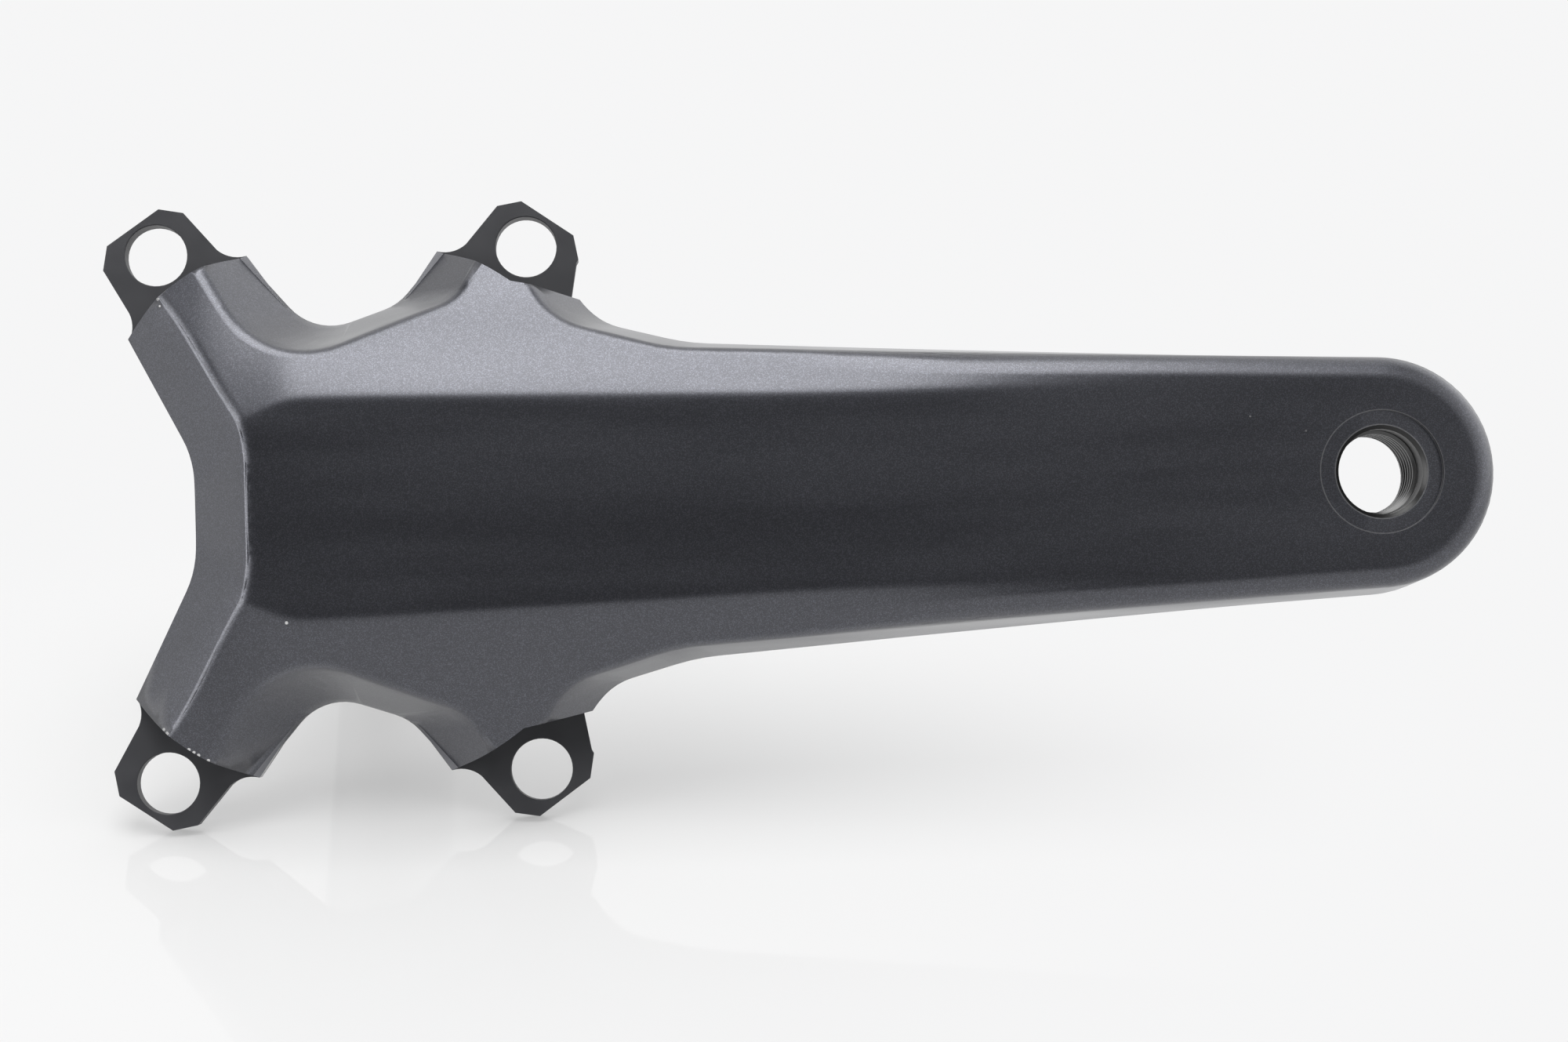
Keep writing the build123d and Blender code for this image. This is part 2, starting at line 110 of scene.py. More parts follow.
class NodeSheet:
    """Small helper that lays out the nodes of one material or world.

    The colour sockets of a Mix node share their names with others, so they go by number.
    """

    COLOUR_FIRST = 6
    COLOUR_SECOND = 7
    COLOUR_RESULT = 2

    def __init__(self, tree: bpy.types.NodeTree) -> None:
        """Start from an empty tree.

        Args:
            tree: The node tree to fill.
        """
        self.tree = tree
        tree.nodes.clear()

    def add(self, kind: str, **settings: object) -> bpy.types.Node:
        """Add one node.

        Args:
            kind: Blender's name for the node type.
            settings: Attributes of the node, set by name.

        Returns:
            The new node.
        """
        node = self.tree.nodes.new(kind)
        for name, value in settings.items():
            setattr(node, name, value)
        return node

    def link(self, source: Socket, target: Socket) -> None:
        """Join an output to an input."""
        self.tree.links.new(source, target)

    def feed(self, socket: Socket, value: object) -> None:
        """Give an input a constant or another node's output.

        Args:
            socket: The input to fill.
            value: A socket to link from, or a plain value.
        """
        if isinstance(value, Socket):
            self.link(value, socket)
        else:
            socket.default_value = value

    def math(self, operation: str, *values: object) -> Socket:
        """Add a Math node.

        Args:
            operation: Blender's name of the operation.
            values: Its inputs, in order.

        Returns:
            The result's socket.
        """
        node = self.add("ShaderNodeMath", operation=operation)
        for socket, value in zip(node.inputs, values):
            self.feed(socket, value)
        return node.outputs[0]

    def remap(self, value: Socket, span: Pair, result: Pair) -> Socket:
        """Map a value smoothly from one range to another.

        Args:
            value: The socket to map.
            span: Start and end of the range that is read.
            result: Results at the start and at the end.

        Returns:
            The mapped value's socket.
        """
        node = self.add("ShaderNodeMapRange", interpolation_type="SMOOTHSTEP")
        self.link(value, node.inputs["Value"])
        node.inputs["From Min"].default_value, node.inputs["From Max"].default_value = span
        node.inputs["To Min"].default_value, node.inputs["To Max"].default_value = result
        return node.outputs["Result"]

    def mix(self, share: object, first: object, second: object) -> Socket:
        """Mix two colours.

        Args:
            share: Share of the second colour.
            first: Colour at no share.
            second: Colour at full share.

        Returns:
            The mixed colour's socket.
        """
        node = self.add("ShaderNodeMix", data_type="RGBA")
        self.feed(node.inputs[0], share)
        self.feed(node.inputs[self.COLOUR_FIRST], first)
        self.feed(node.inputs[self.COLOUR_SECOND], second)
        return node.outputs[self.COLOUR_RESULT]

    def blend(self, share: object, first: Socket, second: Socket) -> Socket:
        """Mix two shaders.

        Args:
            share: Share of the second shader.
            first: Shader at no share.
            second: Shader at full share.

        Returns:
            The mixed shader's socket.
        """
        node = self.add("ShaderNodeMixShader")
        for socket, value in zip(node.inputs, (share, first, second)):
            self.feed(socket, value)
        return node.outputs[0]

    def noise(self, where: Socket, scale: float, detail: float = 2.0) -> Socket:
        """Add a noise pattern.

        Args:
            where: Coordinates that it reads.
            scale: Number of features in a metre.
            detail: Octaves of finer noise.

        Returns:
            The noise value's socket.
        """
        node = self.add("ShaderNodeTexNoise")
        self.link(where, node.inputs["Vector"])
        node.inputs["Scale"].default_value = scale
        node.inputs["Detail"].default_value = detail
        return node.outputs["Fac"]

    def bump(self, height: Socket, depth: float) -> Socket:
        """Add a bump of a height in metres.

        Args:
            height: Pattern between nought and one.
            depth: Real height of the pattern.

        Returns:
            The bumped normal's socket.
        """
        node = self.add("ShaderNodeBump")
        self.link(height, node.inputs["Height"])
        node.inputs["Distance"].default_value = depth
        node.inputs["Strength"].default_value = 1.0
        return node.outputs["Normal"]

    def vector(self, operation: str, where: Socket, other: Sequence[float]) -> Socket:
        """Compare coordinates with a fixed vector.

        Args:
            operation: Blender's name of a vector operation that gives a value.
            where: Coordinates that it reads.
            other: The fixed vector.

        Returns:
            The result's socket.
        """
        node = self.add("ShaderNodeVectorMath", operation=operation)
        self.link(where, node.inputs[0])
        node.inputs[1].default_value = other
        return node.outputs["Value"]

    def split(self, where: Socket) -> bpy.types.bpy_prop_collection:
        """Take coordinates apart.

        Args:
            where: Coordinates that it reads.

        Returns:
            The outputs X, Y and Z.
        """
        node = self.add("ShaderNodeSeparateXYZ")
        self.link(where, node.inputs["Vector"])
        return node.outputs

    def stretched(self, where: Socket, scale: Triple) -> Socket:
        """Scale coordinates along each axis.

        Args:
            where: Coordinates that it reads.
            scale: Factor along X, Y and Z.

        Returns:
            The scaled coordinates' socket.
        """
        node = self.add("ShaderNodeMapping")
        self.link(where, node.inputs["Vector"])
        node.inputs["Scale"].default_value = scale
        return node.outputs["Vector"]


@dataclass(frozen=True)
class Cloud:
    """Faint unevenness of a colour: features in a metre, octaves, and the shares that it mixes."""

    scale: float
    detail: float
    shares: Pair


class FinishSheet(NodeSheet):
    """Node sheet of one new material, with the piece's coordinates and a main shader."""

    def __init__(self, name: str) -> None:
        """Start the material.

        Args:
            name: Name of the finish.
        """
        self.material = bpy.data.materials.new(name)
        self.material.use_nodes = True
        super().__init__(self.material.node_tree)
        self.where = self.add("ShaderNodeTexCoord").outputs["Object"]
        self.shader = self.add("ShaderNodeBsdfPrincipled")

    def put(self, name: str, value: object) -> None:
        """Give an input of the main shader a constant or another node's output."""
        self.feed(self.shader.inputs[name], value)

    def clouded(self, cloud: Cloud, level: float, cast: float = 0.0) -> Socket:
        """Give the main shader a grey with faint clouds.

        Args:
            cloud: The clouds.
            level: Linear brightness of the grey.
            cast: Its cool cast.

        Returns:
            The clouds' noise.
        """
        noise = self.noise(self.where, cloud.scale, cloud.detail)
        first, second = (rgb(share * level, cast) for share in cloud.shares)
        self.put("Base Color", self.mix(noise, first, second))
        return noise

    def finished(self, surface: Socket | None = None) -> bpy.types.Material:
        """Put a shader on the surface.

        Args:
            surface: The shader to show, or none for the main shader.

        Returns:
            The finished material.
        """
        output = self.add("ShaderNodeOutputMaterial")
        self.link(surface or self.shader.outputs["BSDF"], output.inputs["Surface"])
        return self.material


@dataclass(frozen=True)
class BareOrHighlight:
    """Spot where the paint is rubbed thin or knocked off, or a painted highlight ring on an edge,
    seen from the front.

    Its edge is ragged and fades from the core to the fringe, all as shares of its width.
    """

    place: Pair
    width: float
    ring: float = 0.0
    share: float = 1.0
    ragged: float = 0.9
    core: float = 0.25
    fringe: float = 0.6


WEAR: tuple[BareOrHighlight, ...] = (
    BareOrHighlight((-30.9 * MM, -35.7 * MM), 0.3 * MM),
    BareOrHighlight((-30.3 * MM, -36.4 * MM), 0.35 * MM),
    BareOrHighlight((-26.7 * MM, -39.2 * MM), 0.35 * MM),
    BareOrHighlight((-25.9 * MM, -39.7 * MM), 0.3 * MM),
    BareOrHighlight((-25.1 * MM, -40.2 * MM), 0.3 * MM),
    BareOrHighlight((-23.5 * MM, -41.1 * MM), 0.3 * MM),
    BareOrHighlight((-30.1 * MM, 36.4 * MM), 0.3 * MM),
    BareOrHighlight((-29.8 * MM, 35.2 * MM), 0.2 * MM),
    BareOrHighlight((-9.2 * MM, -18.8 * MM), 0.3 * MM),
    BareOrHighlight((160.1 * MM, 7.2 * MM), 0.2 * MM, share=0.25),
    BareOrHighlight((150.9 * MM, 9.9 * MM), 0.18 * MM, share=0.4),
)


@dataclass(frozen=True)
class PaintFinish:
    """Satin dark grey paint with fine metal flake, bare in places and with painted highlight rings
    on the front of the arm.

    The front ends at the middle of the body, which slopes with the arm on the pedal's side.
    """

    name: str
    level: float = 0.052
    cast: float = 0.2
    flake_size: float = 0.13 * MM
    flake_level: float = 0.1
    flake_span: Pair = (0.45, 1.0)
    metallic: float = 0.92
    roughness: float = 0.38
    rough_span: Pair = (0.3, 0.7)
    haze: float = 0.025
    coat: float = 1.0
    coat_roughness: float = 0.31
    coat_span: Pair = (0.35, 0.7)
    grain_scale: float = 2600.0
    grain_depth: float = 0.004 * MM
    smear_scale: Triple = (14.0, 60.0, 110.0)
    # Bare spots, and rings of painted highlight on edges, all in the bare colour.
    bare: tuple[BareOrHighlight, ...] = ()
    bare_and_highlight_level: float = 0.7
    bare_polish: float = 0.06
    ragged_scale: float = 1800.0
    ragged_detail: float = 3.0
    middle_y: float = 1.0 * MM
    middle_slope: float = -0.12

    def build(self) -> bpy.types.Material:
        """Make the paint.

        Returns:
            The finished material.
        """
        sheet = FinishSheet(self.name)
        flakes = sheet.add("ShaderNodeTexVoronoi", feature="F1")
        sheet.link(sheet.where, flakes.inputs["Vector"])
        flakes.inputs["Scale"].default_value = 1.0 / self.flake_size
        tint = sheet.add("ShaderNodeSeparateColor")
        sheet.link(flakes.outputs["Color"], tint.inputs["Color"])
        sparkle = sheet.remap(tint.outputs["Red"], self.flake_span, (0.0, 1.0))
        colour = sheet.mix(sparkle, rgb(self.level, self.cast), rgb(self.flake_level, self.cast))

        smear = sheet.noise(sheet.stretched(sheet.where, self.smear_scale), 1.0)
        sheet.put("Coat Weight", self.coat)
        gloss = sheet.remap(smear, self.coat_span, around(self.coat_roughness, self.haze))
        sheet.put("Coat Roughness", gloss)
        rough = sheet.remap(smear, self.rough_span, around(self.roughness, self.haze))
        colour, metal, rough = self.wear_and_highlights(sheet, colour, rough)
        sheet.put("Base Color", colour)
        sheet.put("Roughness", rough)
        sheet.put("Metallic", metal)
        grain = sheet.noise(sheet.where, self.grain_scale)
        sheet.put("Normal", sheet.bump(grain, self.grain_depth))
        return sheet.finished()

    def wear_and_highlights(
            self, sheet: FinishSheet, colour: Socket,
            rough: Socket) -> tuple[Socket, object, Socket]:
        """Lay the bare spots and the painted highlight rings over the paint.

        Args:
            sheet: Node sheet of the paint.
            colour: Paint colour.
            rough: Paint roughness.

        Returns:
            Colour, metallic share and roughness with the spots and rings.
        """
        if not self.bare:
            return colour, self.metallic, rough
        ragged = sheet.noise(sheet.where, self.ragged_scale, self.ragged_detail)
        place = sheet.split(sheet.where)
        plan = sheet.add("ShaderNodeCombineXYZ")
        sheet.link(place["X"], plan.inputs["X"])
        sheet.link(place["Z"], plan.inputs["Z"])
        total: object = 0.0
        for mark in self.bare:
            x, z = mark.place
            away = sheet.vector("DISTANCE", plan.outputs["Vector"], (x, 0.0, z))
            gap = sheet.math("ABSOLUTE", sheet.math("SUBTRACT", away, mark.ring))
            reach = sheet.math("MULTIPLY_ADD", ragged, -mark.ragged * mark.width, gap)
            span = (mark.core * mark.width, mark.fringe * mark.width)
            total = sheet.math("MAXIMUM", total, sheet.remap(reach, span, (mark.share, 0.0)))
        middle = sheet.math("MULTIPLY_ADD", place["X"], self.middle_slope, self.middle_y)
        middle = sheet.math("MINIMUM", middle, self.middle_y)
        total = sheet.math("MULTIPLY", total, sheet.math("LESS_THAN", place["Y"], middle))
        colour = sheet.mix(total, colour, rgb(self.bare_and_highlight_level))
        rough = sheet.math("MULTIPLY_ADD", total, -self.bare_polish, rough)
        return colour, sheet.math("MAXIMUM", total, self.metallic), rough


@dataclass(frozen=True)
class AnodisedFinish:
    """Anodised metal with faint turning marks about the spindle axis."""

    name: str
    level: float
    cast: float
    roughness: float = 0.5
    rough_span: Pair = (0.3, 0.7)
    haze: float = 0.05
    cloud: Cloud = Cloud(160.0, 4.0, (0.8, 1.2))
    mark_pitch: float = 0.22 * MM
    mark_depth: float = 0.0012 * MM

    def build(self) -> bpy.types.Material:
        """Make the anodised finish.

        Returns:
            The finished material.
        """
        sheet = FinishSheet(self.name)
        cloud = sheet.clouded(self.cloud, self.level, self.cast)
        rough = sheet.remap(cloud, self.rough_span, around(self.roughness, self.haze))
        sheet.put("Roughness", rough)
        place = sheet.split(sheet.where)
        along, across = (sheet.math("MULTIPLY", place[way], place[way]) for way in "XZ")
        radius = sheet.math("SQRT", sheet.math("ADD", along, across))
        turns = sheet.math("MULTIPLY", radius, 2.0 * math.pi / self.mark_pitch)
        marks = sheet.math("MULTIPLY_ADD", sheet.math("SINE", turns), 0.5, 0.5)
        sheet.put("Normal", sheet.bump(marks, self.mark_depth))
        return sheet.finished()


@dataclass(frozen=True)
class SteelFinish:
    """Ground and plated steel with fine marks round its axis."""

    name: str
    level: float = 0.46
    roughness: float = 0.26
    rough_reach: Pair = (-0.06, 0.08)
    cloud: Cloud = Cloud(90.0, 4.0, (0.85, 1.1))
    mark_stretch: Triple = (0.02, 1.0, 0.02)
    mark_scale: float = 5200.0
    mark_detail: float = 3.0
    mark_span: Pair = (0.25, 0.75)
    mark_depth: float = 0.0015 * MM

    def build(self) -> bpy.types.Material:
        """Make the steel.

        Returns:
            The finished material.
        """
        sheet = FinishSheet(self.name)
        sheet.put("Metallic", 1.0)
        sheet.clouded(self.cloud, self.level)
        stretched = sheet.stretched(sheet.where, self.mark_stretch)
        marks = sheet.noise(stretched, self.mark_scale, self.mark_detail)
        low, high = (self.roughness + reach for reach in self.rough_reach)
        sheet.put("Roughness", sheet.remap(marks, self.mark_span, (low, high)))
        sheet.put("Normal", sheet.bump(marks, self.mark_depth))
        return sheet.finished()


@dataclass(frozen=True)
class TableFinish:
    """Pale table top with a faint gloss.

    Near the part it takes real shadows and mirror images. Farther off it fades to an even white.
    """

    name: str
    level: float = 0.39
    cloud: Cloud = Cloud(6.0, 3.0, (1.0, 0.97))
    lift: float = 0.38
    gloss: float = 0.09
    roughness: float = 0.04
    glow: float = 0.92
    near: float = 0.03
    far: float = 0.18
    centre: Triple = (0.01, 0.03, -0.04)

    def build(self) -> bpy.types.Material:
        """Make the table top.

        Returns:
            The finished material.
        """
        sheet = FinishSheet(self.name)
        sheet.clouded(self.cloud, self.level)
        sheet.put("Specular IOR Level", 0.0)
        sheet.put("Emission Color", rgb(1.0))
        sheet.put("Emission Strength", self.lift)
        sheen = sheet.add("ShaderNodeBsdfGlossy")
        sheen.inputs["Roughness"].default_value = self.roughness
        top = sheet.blend(self.gloss, sheet.shader.outputs["BSDF"], sheen.outputs["BSDF"])

        away = sheet.vector("DISTANCE", sheet.where, self.centre)
        share = sheet.remap(away, (self.near, self.far), (0.0, 1.0))
        path = sheet.add("ShaderNodeLightPath").outputs
        seen = sheet.math("MAXIMUM", path["Is Camera Ray"], path["Is Glossy Ray"])
        seen = sheet.math("MAXIMUM", seen, path["Is Transmission Ray"])
        white = sheet.add("ShaderNodeEmission")
        white.inputs["Color"].default_value = rgb(self.glow, WHITE_CAST)
        share = sheet.math("MULTIPLY", seen, share)
        return sheet.finished(sheet.blend(share, top, white.outputs["Emission"]))


def new_piece(
        name: str, bm: bmesh.types.BMesh,
        materials: Sequence[bpy.types.Material]) -> bpy.types.Object:
    """Turn a bmesh into an object of the scene.

    Args:
        name: Name of the piece.
        bm: Finished mesh, freed here.
        materials: Its material slots in order.

    Returns:
        The new object, at the origin.
    """
    mesh = bpy.data.meshes.new(name)
    for layer in bm.faces.layers.int.values():
        bm.faces.layers.int.remove(layer)
    bm.to_mesh(mesh)
    bm.free()
    for material in materials:
        mesh.materials.append(material)
    piece = bpy.data.objects.new(name, mesh)
    bpy.context.scene.collection.objects.link(piece)
    return piece


def number_patches(bm: bmesh.types.BMesh) -> None:
    """Number the faces by the surface patch that they belong to, before the patches are joined.

    Args:
        bm: Mesh whose patches share no points; its face layer "patch" is made here.
    """
    patch = bm.faces.layers.int.new("patch")
    count = 0
    for seed in bm.faces:
        if seed[patch]:
            continue
        count += 1
        seed[patch] = count
        stack = [seed]
        while stack:
            for vert in stack.pop().verts:
                for face in vert.link_faces:
                    if not face[patch]:
                        face[patch] = count
                        stack.append(face)


def welded(node: str) -> bmesh.types.BMesh:
    """Copy a frame node's triangles with their doubles merged.

    Args:
        node: Name of the frame node.

    Returns:
        The copied mesh, all smooth, with a face layer of patch numbers.
    """
    mesh = frame["nodes"][node].data.copy()
    mesh.attributes.remove(mesh.attributes["custom_normal"])
    bm = bmesh.new()
    bm.from_mesh(mesh)
    bpy.data.meshes.remove(mesh)
    number_patches(bm)
    bmesh.ops.remove_doubles(bm, verts=bm.verts, dist=WELD_GAP)
    for item in (*bm.faces, *bm.edges):
        item.smooth = True
    return bm


def shade_even(
        piece: bpy.types.Object, crease: float, exact: dict[int, Vector] | None = None) -> None:
    """Set the shading normals so that large faces lead the rounded edges beside them.

    Args:
        piece: The piece to shade.
        crease: Angle in degrees past which faces that meet are shaded apart.
        exact: Known normals by vertex number, used by the faces that nearly follow them.
    """
    mesh = piece.data
    limit = math.cos(math.radians(crease))
    around_vertex: dict[int, list[bpy.types.MeshPolygon]] = {}
    for face in mesh.polygons:
        for vertex in face.vertices:
            around_vertex.setdefault(vertex, []).append(face)
    known = exact or {}
    normals: list[Vector] = []
    for face in mesh.polygons:
        facing = face.normal.copy()
        for vertex in face.vertices:
            if vertex in known and known[vertex].dot(facing) > limit:
                normals.append(known[vertex])
                continue
            total = Vector()
            for other in around_vertex[vertex]:
                if other.normal.dot(facing) > limit:
                    total += other.normal * other.area
            normals.append(total.normalized() if total.length else facing)
    mesh.normals_split_custom_set(normals)


def settle(piece: bpy.types.Object, slot: str, *nodes: str) -> None:
    """Fix a piece to the part and hide the nodes that it stands for.

    Args:
        piece: The piece, in place.
        slot: Not used.
        nodes: Frame nodes that it replaces.
    """
    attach(piece, BODY)
    if nodes:
        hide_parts(*nodes)


def mount(name: str) -> dict:
    """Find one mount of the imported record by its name."""
    return next(entry for entry in frame["record"]["mounts"] if entry["name"] == name)


@dataclass(frozen=True)
class FrontForm:
    """Front of the arm in millimetres: a flat panel, and facets that fade towards the pedal.

    The roll is a soft rim round the pedal end, wider than the rounding of the solid.
    """

    face_height: float = 17.3
    face_slope: float = 0.0533
    blend_reach: float = 1.0
    facet_slope: float = 0.39
    ridge_slope: float = 0.25
    ridge_start: float = 2.0
    ridge_run: float = 26.0
    fade_slope: float = 0.05
    fade_start: float = 66.0
    fade_end: float = 150.0
    panel_half_width: float = 18.5
    panel_taper: float = 0.0275
    panel_flare: float = 2.0
    slant: float = 0.5
    slant_x: float = -16.0
    slant_half: float = 15.0
    slant_ease: float = 0.6
    end_x: float = 172.5
    side_angle: float = 2.6
    roll_start: float = 15.4
    roll_radius: float = 3.9
    roll_angle: float = 84.0
    roll_from: float = 75.0
    roll_full: float = 105.0
    fine_reach: float = 3.0
    panel_middle: Pair = (90.0, 0.0)
    probe: float = 0.01

    def panel_half(self, x: float) -> float:
        """Give the panel's half width.

        Args:
            x: Place along the arm.

        Returns:
            The half width in millimetres.
        """
        flare = self.panel_flare * progress(x, self.fade_start, self.fade_end) ** 2
        straight = self.panel_half_width - self.panel_taper * min(x, self.fade_end) + flare
        slant = self.slant_half + self.slant * (x - self.slant_x)
        ease = (slant - straight) / 2
        return straight + ease - math.sqrt(ease * ease + self.slant_ease)

    def facet(self, x: float) -> float:
        """Give the facets' slope.

        Args:
            x: Place along the arm.

        Returns:
            Fall of the facets in a millimetre.
        """
        if x > self.fade_start:
            goal, step = self.fade_slope, progress(x, self.fade_start, self.fade_end)
        else:
            ridge_end = self.ridge_start - self.ridge_run
            goal, step = self.ridge_slope, progress(x, self.ridge_start, ridge_end)
        return self.facet_slope + (goal - self.facet_slope) * eased(step)

    def level(self, x: float, z: float) -> float:
        """Give the front's height above the tab plane.

        Args:
            x: Place along the arm.
            z: Place across the arm.

        Returns:
            The height in millimetres.
        """
        past = abs(z) - self.panel_half(x)
        fall = self.facet(x) * (past + math.hypot(past, self.blend_reach)) / 2
        return self.face_height + self.face_slope * x - fall

    def normal(self, x: float, z: float) -> Vector:
        """Give the front's outward direction at a place.

        Args:
            x: Place along the arm.
            z: Place across the arm.

        Returns:
            The unit normal.
        """
        reach = self.probe
        along = (self.level(x + reach, z) - self.level(x - reach, z)) / (2 * reach)
        across = (self.level(x, z + reach) - self.level(x, z - reach)) / (2 * reach)
        return Vector((-along, -1.0, -across)).normalized()

    def rolled(self, base: Vector, x: float, z: float) -> Vector:
        """Roll a direction off towards the arm's rim, as a wide soft edge would.

        Args:
            base: Outward direction without the roll.
            x: Place along the arm.
            z: Place across the arm.

        Returns:
            The unit normal with the roll.
        """
        turn = math.radians(self.side_angle)
        past = Vector((x - self.end_x, 0.0, z))
        side = Vector((math.sin(turn), 0.0, math.copysign(math.cos(turn), z)))
        out = past.normalized() if past.x > abs(z) * math.tan(turn) else side
        step = progress(past.dot(out), self.roll_start, self.roll_start + self.roll_radius)
        fade = progress(x, self.roll_from, self.roll_full)
        tilt = math.radians(self.roll_angle) * math.asin(step) / (0.5 * math.pi)
        soft = self.normal(x, z) * math.cos(tilt) + out * math.sin(tilt)
        return base.lerp(soft, fade if step > 0.0 else 0.0).normalized()

    def near_blend(self, x: float, z: float) -> bool:
        """Tell whether a place is near the bend between panel and facet or near the soft rim.

        Args:
            x: Place along the arm.
            z: Place across the arm.

        Returns:
            True where the mesh has to be fine.
        """
        inner = self.roll_start - self.fine_reach
        rim = abs(z) + math.tan(math.radians(self.side_angle)) * (x - self.end_x) > inner
        end = math.hypot(x - self.end_x, z) > inner and x > self.end_x
        bend = abs(abs(z) - self.panel_half(x)) < self.fine_reach
        return bend or end or rim and x > self.roll_from


@dataclass
class SoftEdge:
    """Rounded edge of the front at the waist, as close-set points that roll off outwards.

    The roll is as wide as the reach and has its full angle, in degrees, at the edge itself. Only
    edges on the far side of the spindle axis count, whose outward way has an X of most_x or less.
    """

    reach: float
    angle: float
    most_x: float = -0.5
    parts: int = 6
    points: list[Vector] = field(default_factory=list)
    ways: list[Vector] = field(default_factory=list)
    tree: KDTree | None = None

    def add(self, edge: bmesh.types.BMEdge, inside: bmesh.types.BMFace) -> None:
        """Add points along one edge of the front, if it looks away from the pedal.

        Args:
            edge: Edge between the front and a rounded rim.
            inside: The front's face at the edge.
        """
        first, last = (vert.co for vert in edge.verts)
        way = (last - first).cross(inside.normal).normalized()
        if way.dot(first - inside.calc_center_median()) < 0:
            way.negate()
        if max(first.x, last.x) > 0 or way.x > self.most_x:
            return
        for number in range(self.parts):
            self.points.append(first.lerp(last, (number + 0.5) / self.parts))
            self.ways.append(way)

    def index(self) -> None:
        """Make the points ready to be searched."""
        self.tree = KDTree(len(self.points))
        for number, point in enumerate(self.points):
            self.tree.insert(point, number)
        self.tree.balance()

    def gap(self, point: Vector) -> float:
        """Give a place's distance from the edge."""
        return self.tree.find(point)[2]

    def rolled(self, normal: Vector, point: Vector) -> Vector:
        """Lean a normal of the front towards the edge.

        Args:
            normal: Normal without the roll.
            point: Its place.

        Returns:
            The unit normal with the roll.
        """
        _, number, gap = self.tree.find(point)
        tilt = math.radians(self.angle) * max(0.0, 1.0 - gap / self.reach) ** 2
        return (normal * math.cos(tilt) + self.ways[number] * math.sin(tilt)).normalized()


